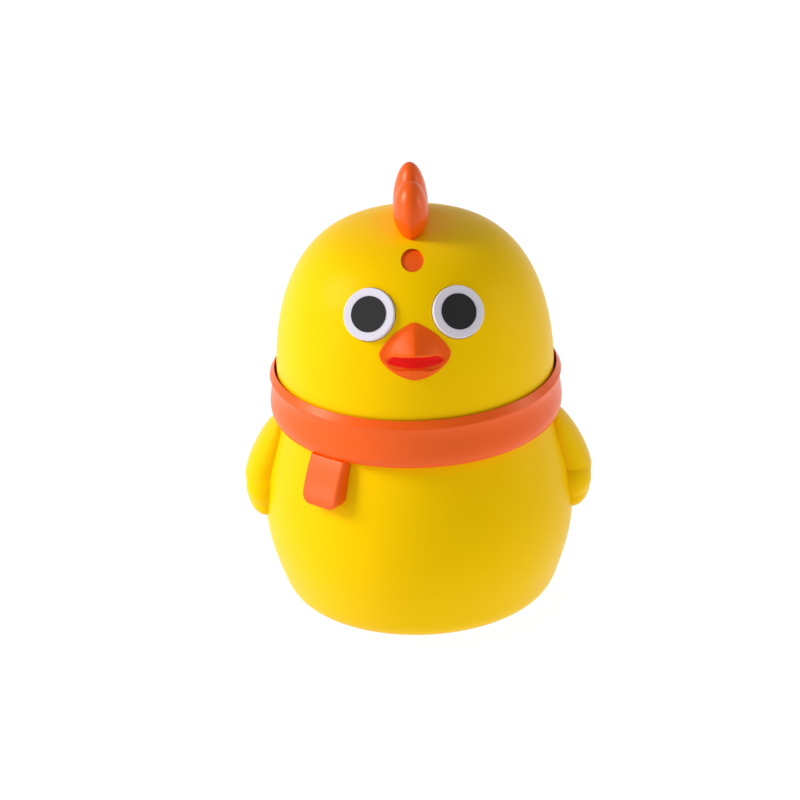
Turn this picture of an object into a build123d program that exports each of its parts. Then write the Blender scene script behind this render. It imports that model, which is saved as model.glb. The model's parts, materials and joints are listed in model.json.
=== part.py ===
"""Wind-up hopping chick: a plastic chick whose head is the winding knob.

The head turns on the neck deck and winds a mainspring. A four-stage train slows it down
with a fan and turns a helical drop cam, which lifts the hop foot against two springs and
lets it fall, so that the foot kicks the chick off the table.

Millimetres. +Z is up, the chick faces -Y, and the origin is at the middle of the base.
"""

from build123d import *
from math import acos, atan2, cos, degrees, pi, radians, sin, sqrt, tan
import os

os.makedirs("parts", exist_ok=True)

# Whole object
glue_gap = 0.03         # between two pieces of one body that are glued or pressed together
thread_gap = 0.02       # between a screw and its hole

# Body shell: outline as (radius, height), from the rim of the flat underside to the neck
wall = 2.0
body_floor = 2.0
floor_thick = 1.6
base_flat_r = 21.5
base_opening_r = 19.05
body_outline = [(25.3, 2.45), (27.8, 3.8), (30.2, 8.4), (32.4, 15.9), (33.1, 24.3), (31.9, 32.7), (28.5, 44.1)]
neck_r = 27.6
neck_inner_r = 25.6
neck_top = 49.0
boss_radius = 23.5      # where the movement is screwed down
boss_r = 2.4
plate_bottom = 8.0
boss_angles = (-90, 30, 150)
boss_foot = 3.0
plinth_r = 19.7
plinth_ring = (18.3, 18.95)

# Scarf
collar_bottom = body_outline[-1][1]
collar_top = 55.0
collar_r = 31.1
collar_waist = 0.25
collar_lip = (30.15, 54.75)
collar_inner_r = 30.05
tail_azimuth = -38.0
tail_width = 9.4
tail_top = (31.1, 47.0)
tail_foot = (34.9, 34.1)

# Head: a superellipse of revolution above a short straight skirt
head_r = 29.5
head_bottom = 52.2
head_shoulder = 55.2
head_top = 86.8
head_plan_power = 3.43
head_rise_power = 1.98
forehead_hole_r = 2.35
forehead_hole_at = (0, -16.1, 84.8)
forehead_hole_tilt = 21.0
button_depth = 0.45

# Face
eye_x, eye_y, eye_z = 9.2, -23.25, 76.1
eye_azimuth, eye_tilt = 20.5, 30.7
eye_r, pupil_r = 5.5, 3.75
eye_proud = 0.32
eye_sunk = 1.2
beak_tip_y = -31.9

# Comb
comb_top = 100.0
comb_front, comb_back = -10.2, 12.0
comb_plan_half, comb_half_width = 4.2, 3.85
comb_middle_z, comb_half_height = 90.0, 10.4

# Wings
wing_reach = 37.5
wing_middle = (29.0, 0.5)
wing_half = (8.6, 9.2)

# Movement: heights of the three plates and where the arbors stand
module = 0.5
plate_r = 25.2
lower_plate_z = (plate_bottom, 9.5)
middle_plate_z = (22.0, 23.2)
upper_plate_z = (34.0, 35.5)
pillar_radius = 21.5
pillar_angles = (-30, 210, 135)
pillar_r = 2.0
great_teeth = 48
second_pinion_teeth, second_wheel_teeth = 12, 40
cam_pinion_teeth, cam_wheel_teeth = 10, 36
fly_pinion_teeth = 9
pivot_play = 0.05
arbor_r = 0.8
fly_arbor_r = 0.6
winding_arbor_r = 2.0

# Hop foot and its cam
stroke = 4.0
sole_rest = 0.3
sole_size = (23.0, 13.0)
foot_opening = (24.0, 14.0)
guide_at = [(-13.5, -6.0), (13.5, -6.0)]
guide_r = 1.0
flange_z = (6.2, 7.7)
cam_low = 11.0
cam_sweep = 330.0
cam_inner_r, cam_outer_r = 4.0, 7.0
follower_r = 0.8
follower_gap = 0.15
arm_x, arm_y = (-10.0, -8.0), (6.0, 10.0)
base_screws_at = [(0, -16.0), (15.5, 5.5), (-15.5, 5.5)]


# Positions worked out from the gear pitches
cam_at = (0.0, 8.0)


def centre_distance(teeth_a, teeth_b):
    return module * (teeth_a + teeth_b) / 2


def meeting_point(distance_from_origin, distance_from_cam):
    """Arbor position at two known distances: from the barrel axis and from the cam axis."""
    y = (distance_from_origin**2 - distance_from_cam**2 + cam_at[1] ** 2) / (2 * cam_at[1])
    return (sqrt(distance_from_origin**2 - y**2), y)


second_at = meeting_point(
    centre_distance(great_teeth, second_pinion_teeth),
    centre_distance(second_wheel_teeth, cam_pinion_teeth),
)
fly_at = (cam_at[0], cam_at[1] + centre_distance(cam_wheel_teeth, fly_pinion_teeth))


def polar(radius, angle):
    return (radius * cos(radians(angle)), radius * sin(radians(angle)))


def upright(at, z):
    """Horizontal sketch plane with its origin on a vertical axis."""
    return Plane(origin=(at[0], at[1], z))


def bearing(from_at, to_at):
    """Direction from one arbor to another, in degrees."""
    return degrees(atan2(to_at[1] - from_at[1], to_at[0] - from_at[0]))


def finish(name, part):
    part.label = name
    export_step(part, f"parts/{name}.step")


def rod(at, z0, z1, radius):
    """Adds an upright round bar to the part being built."""
    with Locations((at[0], at[1], min(z0, z1))):
        Cylinder(radius, abs(z1 - z0), align=(Align.CENTER, Align.CENTER, Align.MIN))


def bore(at, z0, z1, radius):
    """Cuts an upright round hole in the part being built."""
    with Locations((at[0], at[1], z0)):
        Cylinder(radius, z1 - z0, align=(Align.CENTER, Align.CENTER, Align.MIN), mode=Mode.SUBTRACT)


# ---------------------------------------------------------------- shells

seam_angle = 60.0       # the turned shapes start and end here, away from every hole and boss
section_plane = Plane(
    origin=(0, 0, 0),
    x_dir=(cos(radians(seam_angle)), sin(radians(seam_angle)), 0),
    z_dir=(sin(radians(seam_angle)), -cos(radians(seam_angle)), 0),
)


def body_solid(grow=0.0):
    """The body's whole outer form, without its cavity, grown by a small gap."""
    points = [(r + grow, z) for r, z in body_outline]
    with BuildPart() as form:
        with BuildSketch(section_plane):
            with BuildLine():
                flank = Spline((base_flat_r + grow, body_floor), *points, tangents=((1, 0), (-0.33, 1)),
                               tangent_scalars=(1, 1))
                Polyline(flank @ 1, (0, points[-1][1]), (0, body_floor), flank @ 0)
            make_face()
        revolve(axis=Axis.Z)
    return form.part


def body_hollow():
    """The body's cavity, open at the neck; its wall thins smoothly into the neck."""
    cavity_floor = body_floor + floor_thick
    points = [(r - wall, z) for r, z in body_outline[2:-1]]
    with BuildPart() as form:
        with BuildSketch(section_plane):
            with BuildLine():
                side = Spline((22.6, cavity_floor), (25.6, cavity_floor + 1.3), *points,
                              (neck_inner_r, collar_bottom))
                Polyline(side @ 1, (neck_inner_r, neck_top + 1), (0, neck_top + 1), (0, cavity_floor), side @ 0)
            make_face()
        revolve(axis=Axis.Z)
    return form.part


def head_curve(inset):
    """Points of the head's dome, from its shoulder to its crown."""
    count = 8
    points = []
    for step in range(count + 1):
        turn = pi / 2 * step / count
        across = max(cos(turn), 0.0) ** (2 / head_plan_power)
        up = sin(turn) ** (2 / head_rise_power)
        points.append(((head_r - inset) * across, head_shoulder + (head_top - inset - head_shoulder) * up))
    points[-1] = (0.0, points[-1][1])
    return points


def head_solid(inset, bottom):
    """The head's form, solid, with its surface moved in by the inset."""
    points = head_curve(inset)
    with BuildPart() as form:
        with BuildSketch(section_plane):
            with BuildLine():
                dome = Spline(*points, tangents=((0, 1), (-1, 0)))
                Polyline(dome @ 1, (0, bottom), (points[0][0], bottom), dome @ 0)
            make_face()
        revolve(axis=Axis.Z)
    return form.part


body_form = body_solid()
body_form_clear = body_solid(glue_gap)
body_cavity = body_hollow()
head_form = head_solid(0, head_bottom)
head_form_clear = head_solid(-glue_gap, head_bottom)
head_cavity = head_solid(wall, head_bottom - 1)

wing_pegs_z = (27.0, 35.0)
wing_peg_r = 1.2
tail_peg_z = 39.5
tail_peg_r = 1.0
snap_angles = (30, 150, 270)
snap_width = 6.0


def side_plane(side, reach):
    """Sketch plane across X at a distance from the middle, facing outwards."""
    return Plane(origin=(side * reach, 0, 0), x_dir=(0, side, 0), z_dir=(side, 0, 0))


def tail_plane(offset=0.0):
    """Radial plane through the scarf's tail: local X runs outwards, local Y up."""
    out = Vector(sin(radians(tail_azimuth)), -cos(radians(tail_azimuth)), 0)
    across = out.cross(Vector(0, 0, 1))
    return Plane(origin=across * offset, x_dir=out, z_dir=across)


tail_face = Plane((0, 0, 0), x_dir=tail_plane().z_dir, z_dir=tail_plane().x_dir)

with BuildPart() as body_shell:
    add(body_form)
    rod((0, 0), collar_bottom - 1, neck_top, neck_r)
    add(body_cavity, mode=Mode.SUBTRACT)
    bore((0, 0), body_floor, body_floor + floor_thick, base_opening_r)
    for angle in boss_angles:
        rod(polar(boss_radius, angle), boss_foot, plate_bottom, boss_r)
        bore(polar(boss_radius, angle), 3.6, plate_bottom, arbor_r + thread_gap)
    for side in (-1, 1):
        for peg_z in wing_pegs_z:
            with BuildSketch(side_plane(side, 26)):
                with Locations((0, peg_z)):
                    Circle(wing_peg_r + glue_gap)
            extrude(amount=12, mode=Mode.SUBTRACT)
    with BuildSketch(tail_face.offset(24)):
        with Locations((0, -tail_peg_z)):
            Circle(tail_peg_r + glue_gap)
    extrude(amount=12, mode=Mode.SUBTRACT)
    with BuildSketch(Plane.XY.offset(45.2)):
        with PolarLocations(neck_inner_r + 1, 3, start_angle=snap_angles[0]):
            Rectangle(4, snap_width + 1)
    extrude(amount=2.0, mode=Mode.SUBTRACT)
finish("body_shell", body_shell.part)

plinth_top = body_floor - glue_gap

with BuildPart() as base_plate:
    rod((0, 0), 0, plinth_top, plinth_r)
    with BuildSketch(Plane.XY.offset(plinth_top)):
        Circle(plinth_ring[1])
        Circle(plinth_ring[0], mode=Mode.SUBTRACT)
    extrude(amount=1.4)
    with BuildSketch(Plane.XY):
        RectangleRounded(*foot_opening, 2)
    extrude(amount=plinth_top, mode=Mode.SUBTRACT)
    for place in base_screws_at:
        rod(place, plinth_top, plate_bottom, 2.2)
    for place in base_screws_at:
        bore(place, 0, 1.3, 1.8)
        bore(place, 1.3, plate_bottom, 0.95)
finish("base_plate", base_plate.part)

with BuildPart() as neck_deck:
    rod((0, 0), neck_top, neck_top + 1.5, collar_inner_r - 0.25)
    rod((0, 0), neck_top - 0.6, neck_top, 9)
    with BuildSketch(Plane.XY.offset(neck_top + 1.5)):
        Circle(20)
        Circle(16, mode=Mode.SUBTRACT)
    extrude(amount=1.3)
    with BuildSketch(Plane.XY.offset(neck_top)):
        with PolarLocations(24.7, 3, start_angle=snap_angles[0]):
            Rectangle(1.4, snap_width)
    extrude(amount=-4.2)
    with BuildSketch(Plane.XY.offset(45.4)):
        with PolarLocations(25.5, 3, start_angle=snap_angles[0]):
            Rectangle(2.4, snap_width)
    extrude(amount=1.6)
    bore((0, 0), neck_top - 1, neck_top + 2, 6.05)
finish("neck_deck", neck_deck.part)

# ---------------------------------------------------------------- scarf

collar_band = [
    (collar_r - 0.8, collar_bottom), (collar_r, collar_bottom + 2.3),
    (collar_r - collar_waist, collar_bottom + 5.4), (collar_r, collar_top - 1.9),
]

with BuildPart() as scarf_collar:
    with BuildSketch(section_plane) as collar_section:
        with BuildLine():
            outside = Spline(*collar_band)
            Polyline(outside @ 1, collar_lip, (collar_inner_r, collar_lip[1]), (collar_inner_r, neck_top),
                     (neck_r + glue_gap, neck_top), (neck_r + glue_gap, collar_bottom), outside @ 0)
        make_face()
        fillet(collar_section.vertices().sort_by(Axis.X)[-1:], 0.5)
    revolve(axis=Axis.Z)
finish("scarf_collar", scarf_collar.part)

with BuildPart() as collar_form_clear:
    with BuildSketch(section_plane):
        with BuildLine():
            grown = [(r + glue_gap, z) for r, z in collar_band]
            outside = Spline(*grown)
            below = collar_bottom - glue_gap
            Polyline(outside @ 1, (0, grown[-1][1]), (0, below), (grown[0][0], below), outside @ 0)
        make_face()
    revolve(axis=Axis.Z)

with BuildPart() as scarf_tail:
    with BuildSketch(tail_plane(-tail_width / 2)):
        with BuildLine():
            Polyline((24, tail_foot[1]), tail_foot, tail_top, (24, tail_top[1]), close=True)
        make_face()
    extrude(amount=tail_width)
    with BuildSketch(tail_face):
        with Locations((0, -(tail_foot[1] + 10))):
            RectangleRounded(tail_width, 20, 2.6)
    extrude(amount=40, mode=Mode.INTERSECT)
    front_face = scarf_tail.faces().sort_by(lambda f: f.center().dot(tail_face.z_dir))[-1]
    fillet(front_face.edges(), 0.6)
    add(body_form_clear, mode=Mode.SUBTRACT)
    add(collar_form_clear.part, mode=Mode.SUBTRACT)
    with BuildSketch(tail_face.offset(26.8)):
        with Locations((0, -tail_peg_z)):
            Circle(tail_peg_r)
    extrude(amount=5)
finish("scarf_tail", scarf_tail.part)

# ---------------------------------------------------------------- wings

for side, name in ((-1, "wing_left"), (1, "wing_right")):
    with BuildPart() as wing:
        with BuildSketch(Plane.XZ):
            with BuildLine():
                upper = Spline((side * 26, 44.1), (side * 31.2, 41.4), (side * 35.2, 35.6),
                               (side * wing_reach, 29.6), (side * 36.9, 27.2))
                lower = Spline(upper @ 1, (side * 36.8, 25.4), (side * 35.4, 22.9), (side * 32.8, 21.6),
                               (side * 30, 21.4))
                Polyline(lower @ 1, (side * 26, 22), upper @ 0)
            make_face()
        extrude(amount=wing_half[1] + 1, both=True)
        with BuildSketch(Plane.YZ):
            with BuildLine():
                leading = Spline((1.0, 44.5), (-5.0, 40.0), (-8.5, 33.0), (-7.2, 26.4), (-2.0, 21.6), (3.0, 21.8))
                trailing = Spline(leading @ 1, (5.6, 23.9), (5.8, 26.9))
                Spline(trailing @ 1, (8.8, 29.3), (8.4, 35.0), (1.0, 44.5))
            make_face()
        extrude(amount=50, both=True, mode=Mode.INTERSECT)
        with BuildSketch(Plane.XY.offset(20)):
            with Locations((side * wing_middle[0], wing_middle[1])):
                Ellipse(*wing_half)
        extrude(amount=26, mode=Mode.INTERSECT)
        add(body_form_clear, mode=Mode.SUBTRACT)
        for peg_z in wing_pegs_z:
            with BuildSketch(side_plane(side, 28.6)):
                with Locations((0, peg_z)):
                    Circle(wing_peg_r)
            extrude(amount=5.5)
    finish(name, wing.part)

# ---------------------------------------------------------------- head

head_boss_radius = 25.4
head_boss_angles = (90, 210, 330)
head_plate_z = (52.0, 54.0)
beak_pegs = [(-2.0, 69.8), (2.0, 69.8)]
comb_slot = (5.2, 15.0)
comb_slot_y = 0.5
comb_pegs = [(0, comb_slot_y - 4.5), (0, comb_slot_y + 4.5)]
comb_peg_r = 1.1


def eye_plane(side, depth):
    """Plane across an eye's axis, at a depth above or below the head's surface."""
    tilt = radians(eye_tilt)
    turn = radians(eye_azimuth) * side
    axis = Vector(sin(turn) * cos(tilt), -cos(turn) * cos(tilt), sin(tilt))
    return Plane(origin=Vector(side * eye_x, eye_y, eye_z) + axis * depth,
                 x_dir=(cos(turn), sin(turn), 0), z_dir=axis)


hole_start = 4.2


def forehead_plane(depth):
    """Plane across the forehead hole's axis, at a depth below the head's surface."""
    axis = Vector(0, -cos(radians(forehead_hole_tilt)), sin(radians(forehead_hole_tilt)))
    return Plane(origin=Vector(*forehead_hole_at) - axis * depth, x_dir=(1, 0, 0), z_dir=axis)


with BuildPart() as head_shell:
    add(head_form)
    add(head_cavity, mode=Mode.SUBTRACT)
    for angle in head_boss_angles:
        rod(polar(head_boss_radius, angle), head_plate_z[1], 63, 2.4)
        bore(polar(head_boss_radius, angle), head_plate_z[1], 60, 0.8 + thread_gap)
    with BuildSketch(forehead_plane(hole_start)):
        Circle(forehead_hole_r)
    extrude(amount=12, mode=Mode.SUBTRACT)
    with BuildSketch(Plane.XY.offset(80)):
        with Locations((0, comb_slot_y)):
            SlotOverall(comb_slot[1], comb_slot[0], rotation=90)
    extrude(amount=10, mode=Mode.SUBTRACT)
    for side in (-1, 1):
        with BuildSketch(eye_plane(side, -eye_sunk)):
            Circle(eye_r + 0.16)
        extrude(amount=4, mode=Mode.SUBTRACT)
        with BuildSketch(eye_plane(side, -5)):
            Circle(1.5 + glue_gap)
        extrude(amount=5, mode=Mode.SUBTRACT)
    with BuildSketch(Plane.XZ.offset(22)):
        with Locations(*beak_pegs):
            Circle(1.2 + glue_gap)
    extrude(amount=12, mode=Mode.SUBTRACT)
finish("head_shell", head_shell.part)

for side, tag in ((-1, "left"), (1, "right")):
    eye = eye_plane(side, 0)
    with BuildPart() as eye_white:
        with BuildSketch(eye_plane(side, -eye_sunk + glue_gap)):
            Circle(eye_r)
        extrude(amount=eye_sunk + eye_proud - glue_gap)
        circles = eye_white.edges().filter_by(GeomType.CIRCLE)
        rim = circles.sort_by(lambda e: (e.center() - eye.origin).dot(eye.z_dir))[-1]
        fillet(rim, 0.2)
        with BuildSketch(eye_plane(side, eye_proud - 0.5)):
            Circle(pupil_r + glue_gap)
        extrude(amount=2, mode=Mode.SUBTRACT)
        with BuildSketch(eye_plane(side, -4.2)):
            Circle(1.5)
        extrude(amount=4.2 - eye_sunk + 0.2)
    finish(f"eye_white_{tag}", eye_white.part)
    with BuildPart() as pupil:
        with BuildSketch(eye_plane(side, eye_proud - 0.5 + glue_gap)):
            Circle(pupil_r)
        extrude(amount=0.62)
    finish(f"pupil_{tag}", pupil.part)


def beak_section(half_width, top, corner_z, bottom):
    """Corners of a kite across the beak, seen from the front, with its four sides bulging."""
    upper = (half_width * 0.6, corner_z + (top - corner_z) * 0.56)
    lower = (half_width * 0.6, corner_z - (corner_z - bottom) * 0.56)
    right = [(0, top), upper, (half_width, corner_z), lower, (0, bottom)]
    return right + [(-x, z) for x, z in reversed(right[1:-1])]


with BuildPart() as beak:
    with BuildSketch(Plane.XZ.offset(24)):
        Polygon(*beak_section(9.4, 76.6, 68.3, 60.6), align=None)
    with BuildSketch(Plane.XZ.offset(28.2)):
        Polygon(*beak_section(6.7, 73.4, 68.7, 64.2), align=None)
    with BuildSketch(Plane.XZ.offset(-beak_tip_y)):
        Polygon(*beak_section(1.7, 70.7, 69.3, 67.9), align=None)
    loft()
    mouth_slope = radians(22)
    mouth = Plane(origin=(0, -28.4, 68.2), x_dir=(1, 0, 0), z_dir=(0, sin(mouth_slope), cos(mouth_slope)))
    with BuildSketch(mouth):
        with Locations((0, -4)):
            Rectangle(11.6, 8)
    extrude(amount=-1.2, mode=Mode.SUBTRACT)
    add(head_form_clear, mode=Mode.SUBTRACT)
    with BuildSketch(Plane.XZ.offset(24.6)):
        with Locations(*beak_pegs):
            Circle(1.2)
    extrude(amount=4)
finish("beak", beak.part)

with BuildPart() as comb:
    with BuildSketch(Plane.YZ):
        with BuildLine():
            front = Spline((comb_front - 0.8, 84.5), (-9.6, 91.0), (-7.6, 96.4), (-5.6, 98.0))
            dip = Spline(front @ 1, (-4.0, 96.8), (-3.0, 94.2))
            tall = Spline(dip @ 1, (-2.2, 97.2), (-0.9, 99.3), (0.8, comb_top), (3.4, 98.2), (4.6, 94.6))
            rear = Spline(tall @ 1, (7.4, 95.6), (9.8, 93.6), (comb_back - 1.2, 84.5))
            Line(rear @ 1, front @ 0)
        make_face()
    extrude(amount=comb_plan_half + 1, both=True)
    with BuildSketch(Plane.XY.offset(80)):
        with BuildLine():
            ThreePointArc((0, comb_front), (comb_plan_half, 1), (0, comb_back))
            ThreePointArc((0, comb_back), (-comb_plan_half, 1), (0, comb_front))
        make_face()
    extrude(amount=30, mode=Mode.INTERSECT)
    with BuildSketch(Plane.XZ):
        with Locations((0, comb_middle_z)):
            Ellipse(comb_half_width, comb_half_height)
    extrude(amount=20, both=True, mode=Mode.INTERSECT)
    add(head_form_clear, mode=Mode.SUBTRACT)
    with BuildSketch(Plane.XY.offset(81)):
        with Locations((0, comb_slot_y)):
            SlotOverall(comb_slot[1] - 0.1, comb_slot[0] - 0.1, rotation=90)
    extrude(amount=7)
    add(head_cavity, mode=Mode.SUBTRACT)
    for place in comb_pegs:
        rod(place, 81.5, 86, comb_peg_r)
finish("comb", comb.part)

with BuildPart() as forehead_button:
    with BuildSketch(forehead_plane(hole_start - 2 * glue_gap)):
        Circle(forehead_hole_r - glue_gap)
    extrude(amount=8)
    add(head_solid(button_depth, head_bottom), mode=Mode.INTERSECT)

with BuildPart() as comb_plate:
    add(head_solid(wall + glue_gap, head_bottom))
    add(head_solid(wall + glue_gap + 1.6, head_bottom), mode=Mode.SUBTRACT)
    with BuildSketch(Plane.XY.offset(70)):
        with Locations((0, -4)):
            RectangleRounded(14, 34, 5)
    extrude(amount=30, mode=Mode.INTERSECT)
    add(forehead_button.part)
    for place in comb_pegs:
        bore(place, 80, 86, comb_peg_r + glue_gap)
finish("comb_plate", comb_plate.part)

hub_r = 6.0
hub_bottom = 42.0
square = 3.2

with BuildPart() as head_plate:
    rod((0, 0), *head_plate_z, head_r - wall - 0.2)
    rod((0, 0), hub_bottom, head_plate_z[0], hub_r)
    bore((0, 0), hub_bottom, 42.4, winding_arbor_r + 0.3)
    with BuildSketch(Plane.XY.offset(46.9)):
        Circle(hub_r + 1)
        Circle(5.0, mode=Mode.SUBTRACT)
    extrude(amount=1.2, mode=Mode.SUBTRACT)
    with BuildSketch(Plane.XY.offset(hub_bottom)):
        Rectangle(square + 0.1, square + 0.1)
    extrude(amount=5.2, mode=Mode.SUBTRACT)
    for angle in head_boss_angles:
        bore(polar(head_boss_radius, angle), head_plate_z[0], head_plate_z[0] + 1.2, 1.85)
        bore(polar(head_boss_radius, angle), *head_plate_z, 0.95)
finish("head_plate", head_plate.part)

with BuildPart() as hub_clip:
    with BuildSketch(Plane.XY.offset(47.0)):
        Circle(7.6)
        Circle(5.0 + glue_gap, mode=Mode.SUBTRACT)
        with Locations((7, 0)):
            Rectangle(8, 7, mode=Mode.SUBTRACT)
    extrude(amount=1.0)
finish("hub_clip", hub_clip.part)


def pan_screws(name, places, head_z, tip_z, head_r=1.6, head_h=1.0, shank_r=0.8):
    """Round-headed slotted screws at the same height, as one group of separate solids."""
    way = 1 if head_z > tip_z else -1
    with BuildPart() as screws:
        for place in places:
            rod(place, tip_z, head_z, shank_r)
            rod(place, head_z, head_z + way * head_h, head_r)
            with BuildSketch(upright(place, head_z + way * head_h)):
                Rectangle(2 * head_r + 1, 0.45)
            extrude(amount=-way * 0.45, mode=Mode.SUBTRACT)
    finish(name, screws.part)


head_screw_places = [polar(head_boss_radius, angle) for angle in head_boss_angles]
pan_screws("head_screws", head_screw_places, head_plate_z[0] + 1.2, 59, shank_r=0.8)
pan_screws("base_screws", base_screws_at, 1.3, 9.3)
pan_screws("movement_screws", [polar(boss_radius, a) for a in boss_angles], lower_plate_z[1], 3.8)

# ---------------------------------------------------------------- movement frame

pillar_places = [polar(pillar_radius, angle) for angle in pillar_angles]
boss_places = [polar(boss_radius, angle) for angle in boss_angles]

with BuildPart() as lower_plate:
    rod((0, 0), *lower_plate_z, plate_r)
    for place in pillar_places:
        bore(place, *lower_plate_z, 0.8 + thread_gap)
    for place in boss_places:
        bore(place, *lower_plate_z, 0.95)
    for place in base_screws_at:
        bore(place, *lower_plate_z, 0.8 + thread_gap)
    for place in guide_at:
        bore(place, *lower_plate_z, 2.6)
    for place in (cam_at, second_at):
        bore(place, *lower_plate_z, arbor_r + pivot_play)
    bore(fly_at, *lower_plate_z, fly_arbor_r + pivot_play)
    with BuildSketch(upright(((arm_x[0] + arm_x[1]) / 2, (arm_y[0] + arm_y[1]) / 2), lower_plate_z[0])):
        RectangleRounded(2.8, 4.8, 0.4)
    extrude(amount=2, mode=Mode.SUBTRACT)
finish("lower_plate", lower_plate.part)

with BuildPart() as middle_plate:
    rod((0, 0), *middle_plate_z, plate_r)
    for place in pillar_places:
        bore(place, *middle_plate_z, 1.0 + thread_gap)
    for place in guide_at:
        bore(place, *middle_plate_z, guide_r + pivot_play)
    for place in (cam_at, second_at):
        bore(place, *middle_plate_z, arbor_r + pivot_play)
    bore(fly_at, *middle_plate_z, 3.2)
    bore((0, 0), *middle_plate_z, winding_arbor_r + pivot_play)
    for place in boss_places:
        bore(place, *middle_plate_z, 1.9)
finish("middle_plate", middle_plate.part)

click_at = (10.2, 3.6)
spring_post_at = (13.2, -5.4)

with BuildPart() as upper_plate:
    rod((0, 0), *upper_plate_z, plate_r)
    for place in pillar_places:
        bore(place, *upper_plate_z, 0.8 + thread_gap)
    bore(second_at, *upper_plate_z, arbor_r + pivot_play)
    bore(fly_at, *upper_plate_z, fly_arbor_r + pivot_play)
    bore((0, 0), *upper_plate_z, winding_arbor_r + pivot_play)
    for place in boss_places:
        bore(place, *upper_plate_z, 1.9)
    for place in (click_at, spring_post_at):
        bore(place, *upper_plate_z, 0.8)
finish("upper_plate", upper_plate.part)

with BuildPart() as lower_pillars:
    for place in pillar_places:
        rod(place, lower_plate_z[1], middle_plate_z[0], pillar_r)
        bore(place, middle_plate_z[0] - 4, middle_plate_z[0], 1.0 + thread_gap)
        bore(place, lower_plate_z[1], lower_plate_z[1] + 4, 0.8 + thread_gap)
finish("lower_pillars", lower_pillars.part)

with BuildPart() as upper_pillars:
    for place in pillar_places:
        rod(place, middle_plate_z[1], upper_plate_z[0], pillar_r)
        rod(place, middle_plate_z[0] - 3.8, middle_plate_z[1], 1.0)
        bore(place, upper_plate_z[0] - 4, upper_plate_z[0], 0.8 + thread_gap)
finish("upper_pillars", upper_pillars.part)

pan_screws("frame_screws_top", pillar_places, upper_plate_z[1], upper_plate_z[0] - 3.8)
pan_screws("frame_screws_bottom", pillar_places, lower_plate_z[0], lower_plate_z[1] + 3.8)

# ---------------------------------------------------------------- wheels and pinions

wheel_tooth = (0.85, 1.2, 1.42)     # addendum, dedendum and tooth thickness, in modules
pinion_tooth = (0.9, 1.2, 1.35)
pressure_angle = radians(20)


def gear_points(teeth, tooth, phase):
    """Corners of an involute gear outline; one tooth is centred on the phase, in degrees."""
    addendum, dedendum, thickness = tooth
    pitch_r = module * teeth / 2
    tip_r = pitch_r + addendum * module
    root_r = pitch_r - dedendum * module
    base_r = pitch_r * cos(pressure_angle)
    base_half = thickness * module / (2 * pitch_r) + tan(pressure_angle) - pressure_angle
    flank = [(root_r, base_half)] if root_r < base_r else []
    start_r = max(root_r, base_r)
    steps = 4
    for step in range(steps + 1):
        radius = start_r + (tip_r - start_r) * step / steps
        roll = acos(min(1.0, base_r / radius))
        flank.append((radius, base_half - (tan(roll) - roll)))
    points = []
    for tooth_number in range(teeth):
        middle = radians(phase) + 2 * pi * tooth_number / teeth
        points += [(r * cos(middle - half), r * sin(middle - half)) for r, half in flank]
        points += [(r * cos(middle + half), r * sin(middle + half)) for r, half in reversed(flank)]
    return points


def gear_disc(at, z0, z1, teeth, tooth, phase, bore_r):
    """Adds a toothed disc with a round bore to the part being built."""
    with BuildSketch(upright(at, z0)) as blank:
        Polygon(*gear_points(teeth, tooth, phase), align=None)
        Circle(bore_r, mode=Mode.SUBTRACT)
    extrude(blank.sketch, amount=z1 - z0)


def lighten(at, z0, z1, count, radius, hole_r):
    """Cuts a ring of round holes through a wheel."""
    with BuildSketch(upright(at, z0)) as holes:
        with PolarLocations(radius, count):
            Circle(hole_r)
    extrude(holes.sketch, amount=z1 - z0, mode=Mode.SUBTRACT)


def opposite_gap(direction, teeth):
    """Phase that turns a pinion's gap towards the wheel that drives it."""
    return direction + 180 + 180 / teeth


barrel_to_second = bearing((0, 0), second_at)
second_to_cam = bearing(second_at, cam_at)
cam_to_fly = bearing(cam_at, fly_at)

barrel_z = (23.8, 25.8)
drum_top = 32.2
drum_r = 11.5

with BuildPart() as barrel:
    gear_disc((0, 0), *barrel_z, great_teeth, wheel_tooth, barrel_to_second, winding_arbor_r + pivot_play)
    with BuildSketch(Plane.XY.offset(barrel_z[1])):
        Circle(drum_r)
        Circle(drum_r - 1, mode=Mode.SUBTRACT)
    extrude(amount=drum_top - barrel_z[1])
finish("barrel", barrel.part)

with BuildPart() as barrel_cover:
    rod((0, 0), drum_top, drum_top + 0.8, drum_r)
    bore((0, 0), drum_top, drum_top + 0.8, winding_arbor_r + pivot_play)
    lighten((0, 0), drum_top, drum_top + 0.8, 3, 7, 1.2)
finish("barrel_cover", barrel_cover.part)

core_r = 3.2
strip = 0.3


def mainspring_radius(turns):
    """Radius of the strip's middle: close coils at the wall, then one open turn to the core."""
    wound = 5.0
    if turns <= wound:
        return drum_r - 1.3 - 0.62 * turns
    start = drum_r - 1.3 - 0.62 * wound
    return start - (start - core_r - 0.3) * (turns - wound)


with BuildPart() as mainspring:
    with BuildSketch(Plane.XY.offset(26.4)):
        with BuildLine():
            turns = [step / 24 for step in range(24 * 6 + 1)]
            outside = [polar(mainspring_radius(t) + strip / 2, 360 * t) for t in turns]
            inside = [polar(mainspring_radius(t) - strip / 2, 360 * t) for t in reversed(turns)]
            outer_edge = Spline(*outside)
            inner_edge = Spline(*inside)
            Line(outer_edge @ 1, inner_edge @ 0)
            Line(inner_edge @ 1, outer_edge @ 0)
        make_face()
    extrude(amount=5.2)
finish("mainspring", mainspring.part)

with BuildPart() as winding_arbor:
    rod((0, 0), 21.2, 42.2, winding_arbor_r)
    rod((0, 0), 26.2, 31.8, core_r)
    with BuildSketch(Plane.XY.offset(42.2)):
        Rectangle(square - 0.3, square - 0.3)
    extrude(amount=4.6)
finish("winding_arbor", winding_arbor.part)

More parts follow.
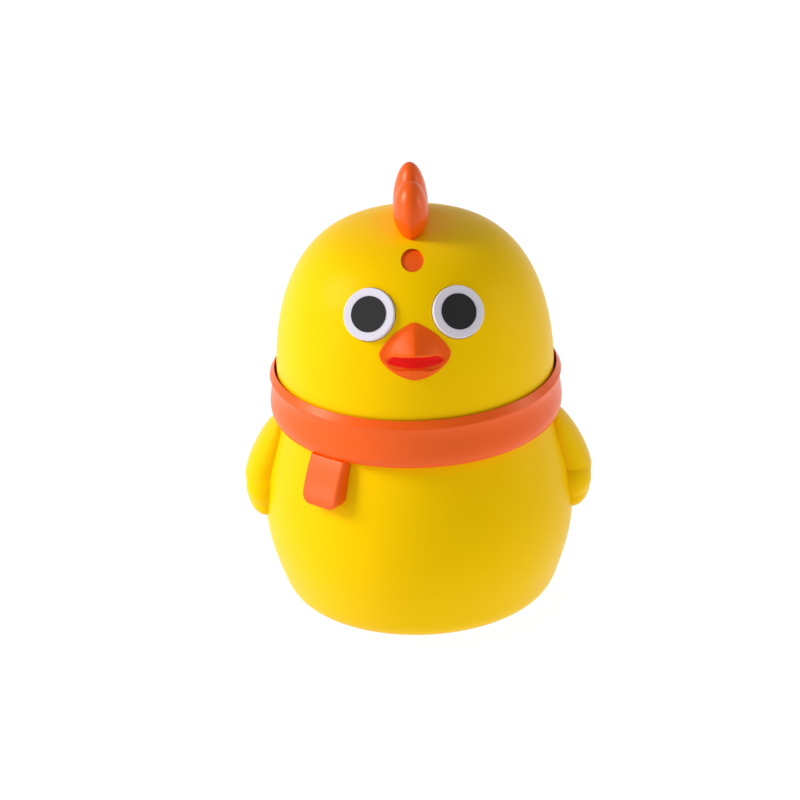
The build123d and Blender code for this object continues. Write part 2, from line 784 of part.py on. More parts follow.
ratchet_teeth = 18
ratchet_tip_r, ratchet_root_r = 5.5, 4.6
ratchet_z = (36.0, 37.6)
ratchet_step = 360 / ratchet_teeth

with BuildPart() as ratchet_wheel:
    with BuildSketch(Plane.XY.offset(ratchet_z[0])):
        with BuildLine():
            corners = []
            for tooth_number in range(ratchet_teeth):
                start = -21 + ratchet_step * tooth_number
                corners.append(polar(ratchet_root_r, start))
                corners.append(polar(ratchet_tip_r, start + ratchet_step))
            Polyline(*corners, close=True)
        make_face()
        Circle(winding_arbor_r, mode=Mode.SUBTRACT)
    extrude(amount=ratchet_z[1] - ratchet_z[0])
    with BuildSketch(Plane.XY.offset(ratchet_z[1])):
        Circle(3.4)
        Circle(winding_arbor_r, mode=Mode.SUBTRACT)
    extrude(amount=1.4)
finish("ratchet_wheel", ratchet_wheel.part)

with BuildPart() as click:
    tip = polar(ratchet_tip_r + 0.12, -20)
    heel_r = 1.3
    lean = Vector(click_at[0] - tip[0], click_at[1] - tip[1]).normalized()
    inward = Vector(-lean.Y, lean.X) * heel_r
    pivot = Vector(*click_at)
    with BuildSketch(Plane.XY.offset(ratchet_z[0] + 0.1)):
        with BuildLine():
            inner_side = tuple(pivot + inward)[:2]
            outer_side = tuple(pivot - inward)[:2]
            back = tuple(pivot + lean * heel_r)[:2]
            Polyline(inner_side, tip, outer_side)
            ThreePointArc(outer_side, back, inner_side)
        make_face()
        with Locations(click_at):
            Circle(0.7 + pivot_play, mode=Mode.SUBTRACT)
    extrude(amount=1.3)
finish("click", click.part)

with BuildPart() as click_stud:
    rod(click_at, upper_plate_z[0], upper_plate_z[1], 0.8 - thread_gap)
    rod(click_at, upper_plate_z[1], 37.6, 0.7)
    rod(click_at, 37.6, 38.2, 1.2)
finish("click_stud", click_stud.part)

with BuildPart() as click_spring:
    rod(spring_post_at, upper_plate_z[0], upper_plate_z[1], 0.8 - thread_gap)
    rod(spring_post_at, upper_plate_z[1], 37.8, 1.1)
    with BuildSketch(Plane.XY.offset(36.2)):
        with BuildLine():
            Polyline((12.6, -5.2), (8.95, 0.15), (8.75, -0.05), (12.2, -5.4), close=True)
        make_face()
    extrude(amount=1.0)
finish("click_spring", click_spring.part)

with BuildPart() as second_arbor:
    rod(second_at, 8.2, 35.3, arbor_r)
finish("second_arbor", second_arbor.part)

with BuildPart() as second_pinion:
    gear_disc(second_at, 23.6, 25.7, second_pinion_teeth, pinion_tooth,
              opposite_gap(barrel_to_second, second_pinion_teeth), arbor_r)
finish("second_pinion", second_pinion.part)

with BuildPart() as second_wheel:
    gear_disc(second_at, 19.9, 21.3, second_wheel_teeth, wheel_tooth, second_to_cam, arbor_r)
    lighten(second_at, 19.9, 21.3, 5, 5.8, 2.2)
finish("second_wheel", second_wheel.part)

with BuildPart() as cam_arbor:
    rod(cam_at, 8.2, 23.0, arbor_r)
finish("cam_arbor", cam_arbor.part)

with BuildPart() as cam_pinion:
    gear_disc(cam_at, 19.4, 21.8, cam_pinion_teeth, pinion_tooth,
              opposite_gap(second_to_cam, cam_pinion_teeth), arbor_r)
finish("cam_pinion", cam_pinion.part)

with BuildPart() as cam_wheel:
    gear_disc(cam_at, 17.4, 18.8, cam_wheel_teeth, wheel_tooth, cam_to_fly, arbor_r)
    lighten(cam_at, 17.4, 18.8, 5, 5.2, 1.9)
finish("cam_wheel", cam_wheel.part)


def cam_ramp_section(angle):
    """Radial rectangle of the cam's ramp at an angle round the cam; it is lowest at the start."""
    top = cam_low + stroke * (angle + 150) / cam_sweep
    out = Vector(cos(radians(angle)), sin(radians(angle)), 0)
    plane = Plane(origin=(cam_at[0], cam_at[1], 0), x_dir=out, z_dir=out.cross(Vector(0, 0, 1)))
    with BuildSketch(plane) as section:
        with Locations(((cam_inner_r + cam_outer_r) / 2, (top + cam_low - 1) / 2)):
            Rectangle(cam_outer_r - cam_inner_r, top - cam_low + 1)
    return section.sketch.face()


with BuildPart() as hop_cam:
    ramp_steps = 15
    loft([cam_ramp_section(-150 + (cam_sweep + 4) * step / ramp_steps) for step in range(ramp_steps + 1)])
    rod(cam_at, cam_low - 1, cam_low, cam_outer_r)
    rod(cam_at, cam_low, 17.4, 2.2)
    bore(cam_at, cam_low - 1, 17.4, arbor_r)
finish("hop_cam", hop_cam.part)

with BuildPart() as fly_arbor:
    rod(fly_at, 8.2, 35.3, fly_arbor_r)
finish("fly_arbor", fly_arbor.part)

with BuildPart() as fly_pinion:
    gear_disc(fly_at, 17.0, 19.2, fly_pinion_teeth, pinion_tooth,
              opposite_gap(cam_to_fly, fly_pinion_teeth), fly_arbor_r)
finish("fly_pinion", fly_pinion.part)

with BuildPart() as fly_fan:
    rod(fly_at, 26, 32, 1.4)
    with BuildSketch(upright(fly_at, 26)):
        for turn in (0, 90):
            Rectangle(11.6, 0.5, rotation=turn)
    extrude(amount=6)
    bore(fly_at, 26, 32, fly_arbor_r)
finish("fly_fan", fly_fan.part)

# ---------------------------------------------------------------- hop foot

sole_top = sole_rest + 1.4
follower_z = cam_low + stroke + follower_r + follower_gap

with BuildPart() as foot_sole:
    with BuildSketch(Plane.XY.offset(sole_rest)):
        RectangleRounded(*sole_size, 1.6)
    extrude(amount=sole_top - sole_rest)
    for x in range(-9, 10, 3):
        with BuildSketch(upright((x, 0), sole_rest)):
            Rectangle(0.8, sole_size[1])
        extrude(amount=0.4, mode=Mode.SUBTRACT)
finish("foot_sole", foot_sole.part)

with BuildPart() as hop_foot:
    with BuildSketch(Plane.XY.offset(sole_top)):
        RectangleRounded(sole_size[0] - 1, sole_size[1] - 1, 1.2)
    extrude(amount=flange_z[0] - sole_top)
    with BuildSketch(Plane.XY.offset(sole_top)):
        RectangleRounded(sole_size[0] - 5, sole_size[1] - 5, 1)
    extrude(amount=3.2, mode=Mode.SUBTRACT)
    with BuildSketch(Plane.XY.offset(flange_z[0])):
        RectangleRounded(sole_size[0] - 1, sole_size[1] - 1, 1.2)
        with Locations(*guide_at):
            Circle(3.2)
        with Locations((0, guide_at[0][1] + 0.6)):
            Rectangle(27, 4)
        with Locations(((arm_x[0] + arm_x[1]) / 2, 7)):
            RectangleRounded(4, 7, 0.8)
    extrude(amount=flange_z[1] - flange_z[0])
    with BuildSketch(upright(((arm_x[0] + arm_x[1]) / 2, (arm_y[0] + arm_y[1]) / 2), flange_z[0])):
        RectangleRounded(arm_x[1] - arm_x[0], arm_y[1] - arm_y[0], 0.3)
    extrude(amount=16.9 - flange_z[0])
    for place in guide_at:
        bore(place, flange_z[0], flange_z[1], guide_r)
    with BuildSketch(side_plane(-1, 11)):
        with Locations((-cam_at[1], follower_z)):
            Circle(follower_r)
    extrude(amount=-4, mode=Mode.SUBTRACT)
finish("hop_foot", hop_foot.part)

with BuildPart() as follower_pin:
    with BuildSketch(side_plane(-1, -arm_x[0])):
        with Locations((-cam_at[1], follower_z)):
            Circle(follower_r)
    extrude(amount=-(arm_x[0] * -1 - cam_inner_r - 0.3))
finish("follower_pin", follower_pin.part)

with BuildPart() as guide_rods:
    for place in guide_at:
        rod(place, flange_z[0], 27.6, guide_r)
finish("guide_rods", guide_rods.part)

coil_r, wire_r = 1.75, 0.25

with BuildPart() as kicker_springs:
    for place in guide_at:
        height = middle_plate_z[0] - flange_z[1] - 2 * wire_r - 0.04
        start = flange_z[1] + wire_r + 0.02
        coil = Helix(pitch=height / 8, height=height, radius=coil_r, center=(*place, start))
        with BuildSketch(Plane(origin=coil @ 0, z_dir=coil % 0)):
            Circle(wire_r)
        sweep(path=coil, is_frenet=True)
finish("kicker_springs", kicker_springs.part)
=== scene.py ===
"""Looks of the wind-up hopping chick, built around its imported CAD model.

Metres, +Z up, the chick faces -Y. The formed pieces (wings, comb, beak, scarf tail) are described by
fields in millimetres that are negative inside the piece, and a surface net turns each field into a mesh.
"""

import json
from math import cos, radians, sin

import bpy
import numpy as np
from mathutils import Matrix, Vector


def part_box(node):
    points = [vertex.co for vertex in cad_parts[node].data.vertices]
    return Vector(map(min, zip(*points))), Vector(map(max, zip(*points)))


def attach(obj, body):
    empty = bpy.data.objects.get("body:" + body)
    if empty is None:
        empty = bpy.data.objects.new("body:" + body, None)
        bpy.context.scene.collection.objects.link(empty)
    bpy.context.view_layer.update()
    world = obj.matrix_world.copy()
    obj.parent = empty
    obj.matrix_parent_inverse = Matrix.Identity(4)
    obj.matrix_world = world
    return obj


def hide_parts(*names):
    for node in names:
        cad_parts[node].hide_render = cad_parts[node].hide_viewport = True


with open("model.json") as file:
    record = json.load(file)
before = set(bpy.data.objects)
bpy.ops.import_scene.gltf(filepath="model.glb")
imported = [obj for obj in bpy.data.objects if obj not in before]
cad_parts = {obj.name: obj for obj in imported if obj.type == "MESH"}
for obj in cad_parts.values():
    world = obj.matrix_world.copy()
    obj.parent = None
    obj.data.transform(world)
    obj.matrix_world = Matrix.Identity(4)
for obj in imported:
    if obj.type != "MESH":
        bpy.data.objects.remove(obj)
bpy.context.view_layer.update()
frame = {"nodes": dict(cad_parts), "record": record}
scene = bpy.context.scene
mm = 0.001


# ---------------------------------------------------------------- camera, light and floor

def make_camera():
    """A long lens in front of the chick, looking down on it, rolled a little."""
    aim = Vector((0, 0, 42.1 * mm))
    distance = 842 * mm
    elevation = radians(25)
    roll = radians(-1.72)
    data = bpy.data.cameras.new("camera")
    data.lens = 176.8
    data.sensor_width = 36
    data.shift_x = -0.021
    data.shift_y = 0.019
    data.clip_start = 0.01
    data.clip_end = 10
    camera = bpy.data.objects.new("camera", data)
    scene.collection.objects.link(camera)
    back = Vector((0, -cos(elevation), sin(elevation)))
    turn = (-back).to_track_quat("-Z", "Y").to_matrix() @ Matrix.Rotation(roll, 3, "Z")
    camera.matrix_world = Matrix.Translation(aim + back * distance) @ turn.to_4x4()
    scene.camera = camera


def soft_box(name, place, size, power):
    """A rectangular area light that faces the chick."""
    data = bpy.data.lights.new(name, "AREA")
    data.shape = "RECTANGLE"
    data.size = size[0]
    data.size_y = size[1]
    data.energy = power
    light = bpy.data.objects.new(name, data)
    scene.collection.objects.link(light)
    light.location = place
    aim = Vector((0, 0, 0.05))
    light.rotation_euler = (aim - Vector(place)).to_track_quat("-Z", "Y").to_euler()


def make_floor():
    """A pale sweep that glows a little, as an evenly lit studio floor does."""
    bpy.ops.mesh.primitive_plane_add(size=8, location=(0, 0, 0))
    floor = bpy.context.object
    floor.name = "floor"
    paint = bpy.data.materials.new("floor_paint")
    paint.use_nodes = True
    shader = paint.node_tree.nodes["Principled BSDF"]
    shader.inputs["Base Color"].default_value = (0.10, 0.10, 0.10, 1)
    shader.inputs["Roughness"].default_value = 0.9
    shader.inputs["Specular IOR Level"].default_value = 0.0
    shader.inputs["Emission Color"].default_value = (1, 1, 1, 1)
    shader.inputs["Emission Strength"].default_value = 0.97
    floor.data.materials.append(paint)


def make_world():
    """White near and below the horizon, dimmer overhead."""
    world = bpy.data.worlds.new("studio")
    scene.world = world
    world.use_nodes = True
    tree = world.node_tree
    place = tree.nodes.new("ShaderNodeTexCoord")
    split = tree.nodes.new("ShaderNodeSeparateXYZ")
    ramp = tree.nodes.new("ShaderNodeValToRGB")
    tree.links.new(place.outputs["Generated"], split.inputs["Vector"])
    tree.links.new(split.outputs["Z"], ramp.inputs["Fac"])
    tree.links.new(ramp.outputs["Color"], tree.nodes["Background"].inputs["Color"])
    ramp.color_ramp.elements[0].position = 0.05
    ramp.color_ramp.elements[0].color = (0.70, 0.70, 0.70, 1)
    ramp.color_ramp.elements[1].position = 0.60
    ramp.color_ramp.elements[1].color = (0.36, 0.36, 0.36, 1)
    tree.nodes["Background"].inputs["Strength"].default_value = 1.0


def make_stage():
    make_floor()
    make_world()
    scene.view_settings.view_transform = "Standard"
    soft_box("key_light", (-0.95, -0.05, 0.65), (0.40, 0.45), 9.8)
    soft_box("low_light", (-1.05, -0.33, 0.10), (0.25, 0.20), 1.1)
    soft_box("fill_light", (1.05, 0.05, 0.32), (0.25, 0.50), 1.5)


# ---------------------------------------------------------------- materials

class Paint:
    """A material and its node tree, with short calls for the nodes used here."""

    def __init__(self, name, colour, roughness, metallic=0.0, specular=0.5, sheen=(1, 1, 1)):
        self.material = bpy.data.materials.new(name)
        self.material.use_nodes = True
        self.tree = self.material.node_tree
        self.shader = self.tree.nodes["Principled BSDF"]
        self.shader.inputs["Base Color"].default_value = (*colour, 1)
        self.shader.inputs["Roughness"].default_value = roughness
        self.shader.inputs["Metallic"].default_value = metallic
        self.shader.inputs["Specular IOR Level"].default_value = specular
        self.shader.inputs["Specular Tint"].default_value = (*sheen, 1)
        self.place = self.tree.nodes.new("ShaderNodeTexCoord").outputs["Object"]

    def stretched(self, scale):
        mapping = self.tree.nodes.new("ShaderNodeMapping")
        mapping.inputs["Scale"].default_value = scale
        self.tree.links.new(self.place, mapping.inputs["Vector"])
        return mapping.outputs["Vector"]

    def noise(self, size, detail=3.0, place=None):
        """Noise whose lumps are about the given size, in metres."""
        texture = self.tree.nodes.new("ShaderNodeTexNoise")
        texture.inputs["Scale"].default_value = 1 / size
        texture.inputs["Detail"].default_value = detail
        self.tree.links.new(place or self.place, texture.inputs["Vector"])
        return texture.outputs["Fac"]

    def between(self, value, low, high):
        """Value stretched from 0.3..0.7, where noise mostly lies, to low..high."""
        reach = self.tree.nodes.new("ShaderNodeMapRange")
        reach.inputs["From Min"].default_value = 0.3
        reach.inputs["From Max"].default_value = 0.7
        reach.inputs["To Min"].default_value = low
        reach.inputs["To Max"].default_value = high
        self.tree.links.new(value, reach.inputs["Value"])
        return reach.outputs["Result"]

    def colours(self, value, low, high):
        ramp = self.tree.nodes.new("ShaderNodeValToRGB")
        ramp.color_ramp.elements[0].position = 0.3
        ramp.color_ramp.elements[0].color = (*low, 1)
        ramp.color_ramp.elements[1].position = 0.7
        ramp.color_ramp.elements[1].color = (*high, 1)
        self.tree.links.new(value, ramp.inputs["Fac"])
        self.tree.links.new(ramp.outputs["Color"], self.shader.inputs["Base Color"])

    def painted_shade_pocket(self, middle, half, colour):
        """Another colour inside an ellipsoid: painted shade on the walls of a recess, standing for its
        shadow and bounced light.
        """
        fade_start, fade_end = 1.06, 0.90
        nodes, links = self.tree.nodes, self.tree.links
        shift = nodes.new("ShaderNodeVectorMath")
        shift.operation = "SUBTRACT"
        shift.inputs[1].default_value = middle
        links.new(self.place, shift.inputs[0])
        scale = nodes.new("ShaderNodeVectorMath")
        scale.operation = "DIVIDE"
        scale.inputs[1].default_value = half
        links.new(shift.outputs["Vector"], scale.inputs[0])
        gauge = nodes.new("ShaderNodeVectorMath")
        gauge.operation = "LENGTH"
        links.new(scale.outputs["Vector"], gauge.inputs[0])
        edge = nodes.new("ShaderNodeMapRange")
        edge.inputs["From Min"].default_value = fade_start
        edge.inputs["From Max"].default_value = fade_end
        links.new(gauge.outputs["Value"], edge.inputs["Value"])
        mix = nodes.new("ShaderNodeMix")
        mix.data_type = "RGBA"
        links.new(edge.outputs["Result"], mix.inputs[0])
        links.new(self.shader.inputs["Base Color"].links[0].from_socket, mix.inputs[6])
        mix.inputs[7].default_value = (*colour, 1)
        links.new(mix.outputs[2], self.shader.inputs["Base Color"])

    def roughness(self, value):
        self.tree.links.new(value, self.shader.inputs["Roughness"])

    def relief(self, value, depth):
        bump = self.tree.nodes.new("ShaderNodeBump")
        bump.inputs["Strength"].default_value = 1.0
        bump.inputs["Distance"].default_value = depth
        self.tree.links.new(value, bump.inputs["Height"])
        self.tree.links.new(bump.outputs["Normal"], self.shader.inputs["Normal"])


def moulded_plastic(name, colour, darker, roughness, specular=0.4, sheen=(1, 1, 1), mouth=None):
    """Satin moulding: a fine spark-eroded grain, and slight flow marks in colour and gloss. When a mouth
    is given, a painted shade colours that recess.
    """
    grain, depth = 0.35 * mm, 0.004 * mm
    paint = Paint(name, colour, roughness, specular=specular, sheen=sheen)
    flow = paint.noise(22 * mm, 2.0)
    paint.colours(flow, darker, colour)
    paint.roughness(paint.between(paint.noise(6 * mm), roughness - 0.03, roughness + 0.03))
    paint.relief(paint.noise(grain, 2.0), depth)
    # painted shade: the mouth recess gets a deep red that stands for its shadow and bounced orange light
    if mouth:
        paint.painted_shade_pocket(*mouth)
    return paint.material


def turned_metal(name, colour, roughness, grain=(1, 1, 30)):
    """Metal with fine parallel tool marks and faint tarnish."""
    paint = Paint(name, colour, roughness, metallic=1.0)
    darker = tuple(0.82 * c for c in colour)
    paint.colours(paint.noise(5 * mm, 4.0), darker, colour)
    marks = paint.noise(1.2 * mm, 2.0, paint.stretched(grain))
    paint.roughness(paint.between(marks, roughness - 0.06, roughness + 0.08))
    paint.relief(marks, 0.003 * mm)
    return paint.material


def matte_rubber(name, colour):
    paint = Paint(name, colour, 0.75, specular=0.3)
    paint.colours(paint.noise(3 * mm), tuple(0.8 * c for c in colour), colour)
    paint.relief(paint.noise(0.25 * mm), 0.02 * mm)
    return paint.material


yellow, yellow_shade, yellow_sheen = (0.94, 0.585, 0.0), (0.92, 0.565, 0.0), (1, 0.8, 0.3)
orange, orange_shade, orange_sheen = (0.90, 0.108, 0.002), (0.88, 0.102, 0.001), (1, 0.85, 0.7)
materials = {
    "yellow_shell": moulded_plastic("yellow_shell", yellow, yellow_shade, 0.36, 0.08, yellow_sheen),
    "orange_trim": moulded_plastic("orange_trim", orange, orange_shade, 0.34, 0.40, orange_sheen),
    "eye_white": moulded_plastic("eye_white", (0.78, 0.74, 0.84), (0.77, 0.73, 0.82), 0.30),
    "eye_black": moulded_plastic("eye_black", (0.012, 0.011, 0.013), (0.009, 0.008, 0.010), 0.50, 0.35),
    "inner_plastic": moulded_plastic("inner_plastic", (0.74, 0.72, 0.66), (0.72, 0.70, 0.63), 0.45),
    "plate_brass": turned_metal("plate_brass", (0.78, 0.56, 0.24), 0.32, (1, 12, 1)),
    "gear_brass": turned_metal("gear_brass", (0.83, 0.62, 0.28), 0.26),
    "steel": turned_metal("steel", (0.62, 0.62, 0.64), 0.28),
    "spring_steel": turned_metal("spring_steel", (0.20, 0.22, 0.30), 0.34),
    "sole_rubber": matte_rubber("sole_rubber", (0.05, 0.045, 0.04)),
}

# Painted shade: the open mouth's inside is coloured deep red for its shadow and the orange light bounced
# in it. The ellipsoid below marks where the red is painted.
mouth_shade_middle = (0, -28.7 * mm, 67.6 * mm)
mouth_shade_half = (6.4 * mm, 2.1 * mm, 1.5 * mm)
mouth_painted_shade = (0.85, 0.0, 0.001)
beak_orange = moulded_plastic("beak_orange", orange, orange_shade, 0.42, 0.22, orange_sheen,
                              (mouth_shade_middle, mouth_shade_half, mouth_painted_shade))


def dress(piece, slot, finish=None):
    """Gives a piece its finish, and nothing else."""
    piece.data.materials.clear()
    piece.data.materials.append(finish or materials[slot])


def dress_cad_nodes():
    for row in frame["record"]["subparts"]:
        dress(frame["nodes"][row["node"]], row["material_slot"])


# ---------------------------------------------------------------- fields and their surfaces

def surface_net(field, low, high, step):
    """Vertices and quads of the surface where the field is zero, in the box from low to high."""
    axes = [np.arange(a, b + step, step) for a, b in zip(low, high)]
    grid = np.stack(np.meshgrid(*axes, indexing="ij"), -1)
    value = field(grid)
    cells = tuple(n - 1 for n in value.shape)
    total = np.zeros(cells + (3,))
    count = np.zeros(cells)
    crossings = []
    for axis in range(3):
        first = np.moveaxis(value, axis, 0)[:-1]
        second = np.moveaxis(value, axis, 0)[1:]
        mixed = (first < 0) != (second < 0)
        i, j, k = np.nonzero(mixed)
        share = first[i, j, k] / (first[i, j, k] - second[i, j, k])
        start = np.moveaxis(grid, axis, 0)[:-1][i, j, k].copy()
        start[:, axis] += share * step
        inner = (j > 0) & (k > 0) & (j < first.shape[1] - 1) & (k < first.shape[2] - 1)
        ring = []
        for dj, dk in ((-1, -1), (0, -1), (0, 0), (-1, 0)):
            cell = np.stack([i, j + dj, k + dk], -1)[inner]
            cell = np.insert(cell[:, 1:], axis, cell[:, 0], axis=1)
            np.add.at(total, tuple(cell.T), start[inner])
            np.add.at(count, tuple(cell.T), 1)
            ring.append(cell)
        leaving = first[i, j, k][inner] < 0
        crossings.append((ring, leaving if axis != 1 else ~leaving))
    number = np.full(cells, -1)
    used = count > 0
    number[used] = np.arange(used.sum())
    points = total[used] / count[used][:, None]
    faces = []
    for ring, leaving in crossings:
        corners = np.stack([number[tuple(cell.T)] for cell in ring], -1)
        corners[~leaving] = corners[~leaving][:, ::-1]
        faces.append(corners)
    return points, np.concatenate(faces)


def settle(field, points, reach, rounds=3):
    """Moves points onto the field's surface, each by no more than the reach a round."""
    probe = 0.02
    for _ in range(rounds):
        value = field(points)
        rises = [field(points + probe * unit) - field(points - probe * unit) for unit in np.eye(3)]
        slope = np.stack(rises, -1) / (2 * probe)
        size = np.maximum((slope**2).sum(-1), 0.05)
        shift = -value[:, None] * slope / size[:, None]
        length = np.linalg.norm(shift, axis=1)
        shift *= np.minimum(1, reach / np.maximum(length, 1e-9))[:, None]
        points = points + shift
    return points


def formed_piece(name, field, low, high, step, body, slot, replaced, finish=None):
    """A mesh of the field's surface that stands for a CAD node."""
    points, faces = surface_net(field, low, high, step)
    points = settle(field, points, step / 2)
    mesh = bpy.data.meshes.new(name)
    mesh.from_pydata((points * mm).tolist(), [], faces.tolist())
    mesh.polygons.foreach_set("use_smooth", np.ones(len(mesh.polygons), bool))
    mesh.update()
    piece = bpy.data.objects.new(name, mesh)
    scene.collection.objects.link(piece)
    dress(piece, slot, finish)
    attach(piece, body)
    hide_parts(replaced)


def union(a, b, soft):
    """Both fields together, with a fillet of the given softness between them."""
    near = np.clip(soft - np.abs(a - b), 0, None)
    return np.minimum(a, b) - near**2 / (4 * soft)


def overlap(a, b, soft):
    """What lies in both fields, with its edge rounded."""
    return -union(-a, -b, soft)


def outer_profile(node):
    """Radii and heights of a turned shell's outside: the convex hull of its mesh, from bottom to top."""
    vertices = np.array([v.co for v in frame["nodes"][node].data.vertices]) / mm
    points = np.stack([np.hypot(vertices[:, 0], vertices[:, 1]), vertices[:, 2]], -1)
    points = points[np.lexsort((-points[:, 0], points[:, 1]))]
    hull = []
    for r, z in points:
        while len(hull) > 1:
            (r1, z1), (r2, z2) = hull[-2:]
            if (r2 - r1) * (z - z1) - (z2 - z1) * (r - r1) > 0:
                break
            hull.pop()
        hull.append((r, z))
    return np.array(hull)


body_profile = outer_profile("body_shell")
head_profile = outer_profile("head_shell")
glue_gap = 0.03


def body_radius(z):
    return np.interp(z, body_profile[:, 1], body_profile[:, 0])


def off_body(p):
    """Distance out from the body's surface, along the radius."""
    return np.hypot(p[..., 0], p[..., 1]) - body_radius(p[..., 2])


def off_head_side(p):
    radius = np.interp(p[..., 2], head_profile[:, 1], head_profile[:, 0])
    return np.hypot(p[..., 0], p[..., 1]) - radius


def off_head_top(p):
    crown = head_profile[::-1]
    height = np.interp(np.hypot(p[..., 0], p[..., 1]), crown[:, 0], crown[:, 1])
    return p[..., 2] - height


# ---------------------------------------------------------------- wings

def narrowing(rise, start, end):
    """From 1 at no rise to almost 0 at full rise: late for a high start, blunt for a low end."""
    return np.clip(1 - rise**start, 1e-3, 1) ** end


def feather(across, up, out, centre, above, below, front, back, thick, taper):
    """A rounded pad on the body: across and up on its surface, out from it."""
    fullness = 2.2
    rise = np.clip(np.where(up > centre, (up - centre) / above, (centre - up) / below), 0, 1)
    depth = thick * narrowing(rise, *taper)
    leaf = np.where(across < 0, front * narrowing(rise, 4, 0.5), back * narrowing(rise, 2, 0.6))
    section = (np.abs(across) / leaf) ** fullness + (np.clip(out, 0, None) / depth) ** fullness
    return (section ** (1 / fullness) - 1) * np.minimum(leaf, depth)


def make_wing(name, side):
    """Two feathers, one over the other, with a notch behind and a smooth run into each other in front."""
    low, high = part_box(name)
    margin = Vector((1, 2, 1))
    step = 0.25
    middle = 0.3
    rooted = 0.4
    notch_fillet, front_fillet = 0.35, 3.5
    front_start, front_run = 0.5, 3
    upper_feather = dict(centre=30.0, above=13.8, below=5.3, front=6.2, back=8.4, thick=4.85,
                         taper=(1.8, 0.65))
    lower_feather = dict(centre=25.6, above=5.0, below=4.4, front=6.1, back=6.3, thick=3.9,
                         taper=(2.2, 0.5))

    def field(p):
        turn = np.arctan2(p[..., 1], side * p[..., 0])
        across = turn * body_radius(p[..., 2]) - middle
        up = p[..., 2]
        out = off_body(p)
        upper = feather(across, up, out, **upper_feather)
        lower = feather(across, up, out, **lower_feather)
        soft = notch_fillet + front_fillet * np.clip((-across - front_start) / front_run, 0, 1)
        return np.maximum(union(upper, lower, soft), -rooted - out)

    formed_piece(name + "_skin", field, Vector(low) / mm - margin, Vector(high) / mm + margin, step,
                 "body", "yellow_shell", name)


# ---------------------------------------------------------------- comb

def comb_lobe(p, middle, half, rise, length, thick):
    """An upright ellipse from the side, and an oval from above, narrower and sharper low down."""
    steady = 0.8
    x, y, z = p[..., 0], p[..., 1], p[..., 2]
    level = (z - rise) / half
    narrow = np.sqrt(np.clip(1 - level**2, 1e-4, 1))
    along = np.clip(np.abs(y - middle) / (length * narrow), 0, 1)
    prow = 0.52 + 0.55 * np.clip(-level, 0, 0.5)
    width = thick * narrow ** np.where(level < 0, 2.2, 1) * np.clip(1 - along**2, 0, 1) ** prow
    past_end = np.abs(y - middle) - length * narrow
    past_side = np.abs(x) - width
    return np.maximum.reduce([steady * past_side, steady * past_end, (np.abs(level) - 1) * half])


def make_comb():
    """Three lobes in a row, front to back, cut off by the head."""
    fillet = 0.35
    front_lobe = dict(middle=-5.3, half=7.1, rise=91.0, length=5.5, thick=3.7)
    tall_lobe = dict(middle=0.3, half=10.0, rise=90.0, length=5.6, thick=3.7)
    rear_lobe = dict(middle=7.4, half=7.2, rise=89.0, length=4.6, thick=3.5)
    low, high, step = (-5, -12, 82), (5, 14, 101), 0.2

    def field(p):
        front, tall, rear = (comb_lobe(p, **lobe) for lobe in (front_lobe, tall_lobe, rear_lobe))
        crest = union(union(front, tall, fillet), rear, fillet)
        return np.maximum(crest, glue_gap - off_head_top(p))

    formed_piece("comb_crest", field, low, high, step, "head", "orange_trim", "comb")


# ---------------------------------------------------------------- beak

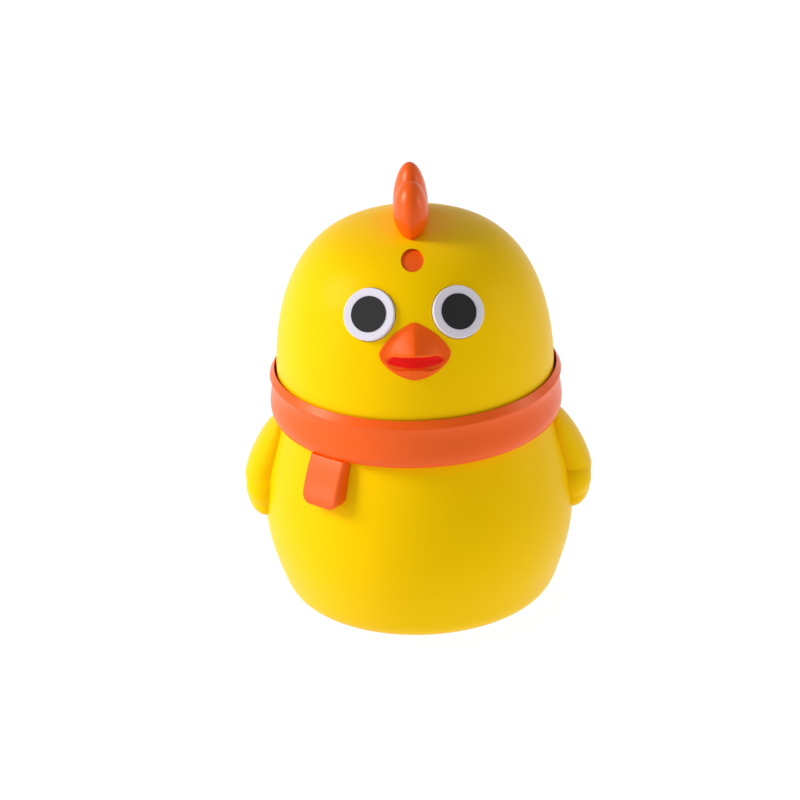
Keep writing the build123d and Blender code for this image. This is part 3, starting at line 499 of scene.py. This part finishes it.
def make_beak():
    """A ridged upper half with a flat lip, over an open mouth and a thin lower half, on a common root."""
    tip_y, corner_z = -31.9, 68.7
    side_reach, up_reach, down_reach = 7.6, 6.3, 5.2
    up_bow, down_bow = 1.42, 1.6
    face_depth, face_bow = 6.4, 1.25
    lip_y, lip_z, lip_slope = -27.4, 67.8, 0.47
    rim_z, rim_rise = 66.4, 1.5
    chin_bulge, chin_bow = 2.3, 2.2
    root_thick, ring_scale = 0.35, 5
    low, high, step = (-9, -33, 62), (9, -22, 77.5), 0.16

    def outline(p):
        """0 on the beak's axis and 1 on its outline, seen from the front."""
        x = np.abs(p[..., 0]) / side_reach
        z = p[..., 2] - corner_z
        upper = (x**up_bow + (np.clip(z, 0, None) / up_reach) ** up_bow) ** (1 / up_bow)
        lower = (x**down_bow + (np.clip(-z, 0, None) / down_reach) ** down_bow) ** (1 / down_bow)
        return np.where(z > 0, upper, lower)

    def upper_half(y, z, ring):
        face = tip_y + face_depth * ring**face_bow
        lip = lip_z + lip_slope * (lip_y - y) - z
        return overlap(0.75 * (face - y), 0.9 * lip, 0.9)

    def lower_half(x, y, z, ring, off):
        rim = rim_z + rim_rise * np.clip(x / side_reach, -1, 1) ** 2
        chin = off - chin_bulge * (1 - np.clip(ring, 0, 1.2) ** chin_bow)
        scoop = np.sqrt((x / 6.2) ** 2 + ((y + 28.6) / 1.6) ** 2 + ((z - 67.0) / 1.7) ** 2) - 1
        return np.maximum(overlap(chin, z - rim, 0.6), -1.5 * scoop)

    def field(p):
        x, y, z = p[..., 0], p[..., 1], p[..., 2]
        ring = outline(p)
        off = off_head_side(p)
        root = np.maximum(off - root_thick, (ring - 0.97) * ring_scale)
        halves = union(upper_half(y, z, ring), lower_half(x, y, z, ring, off), 0.15)
        whole = union(halves, root, 0.5)
        return np.maximum(np.maximum(whole, (ring - 1.02) * ring_scale), glue_gap - off)

    formed_piece("beak_skin", field, low, high, step, "head", "orange_trim", "beak", beak_orange)


# ---------------------------------------------------------------- scarf tail

def make_scarf_tail():
    """A flap that hangs from the collar's lower edge, to the chick's right of its beak."""
    azimuth = radians(-38)
    out = np.array([sin(azimuth), -cos(azimuth), 0])
    aside = np.array([cos(azimuth), sin(azimuth), 0])
    collar_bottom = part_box("scarf_collar")[0].z / mm
    foot = 34.1
    width, corner = 9.2, 2.3
    face_top, face_bulge, face_bow = 30.7, 3.8, 1.5
    face_scale, edge_round = 0.92, 0.8
    inner_side = 20
    low, high, step = (-29, -36, 32), (-10, -16, 48), 0.2

    def field(p):
        across = np.abs(p @ aside)
        drop = (collar_bottom - p[..., 2]) / (collar_bottom - foot)
        face = face_top + face_bulge * (1 - np.clip(1 - drop, 0, 1) ** face_bow)
        front = face_scale * (p @ out - face)
        past_side = across - (width / 2 - corner)
        past_foot = (foot + corner) - p[..., 2]
        rounded = np.hypot(np.clip(past_side, 0, None), np.clip(past_foot, 0, None)) - corner
        slab = overlap(front, rounded, edge_round)
        slab = np.maximum(slab, inner_side - p @ out)
        slab = np.maximum(slab, glue_gap - (collar_bottom - p[..., 2]))
        return np.maximum(slab, glue_gap - off_body(p))

    formed_piece("scarf_tail_skin", field, low, high, step, "body", "orange_trim", "scarf_tail")


make_camera()
make_stage()
dress_cad_nodes()
make_wing("wing_left", -1)
make_wing("wing_right", 1)
make_comb()
make_beak()
make_scarf_tail()
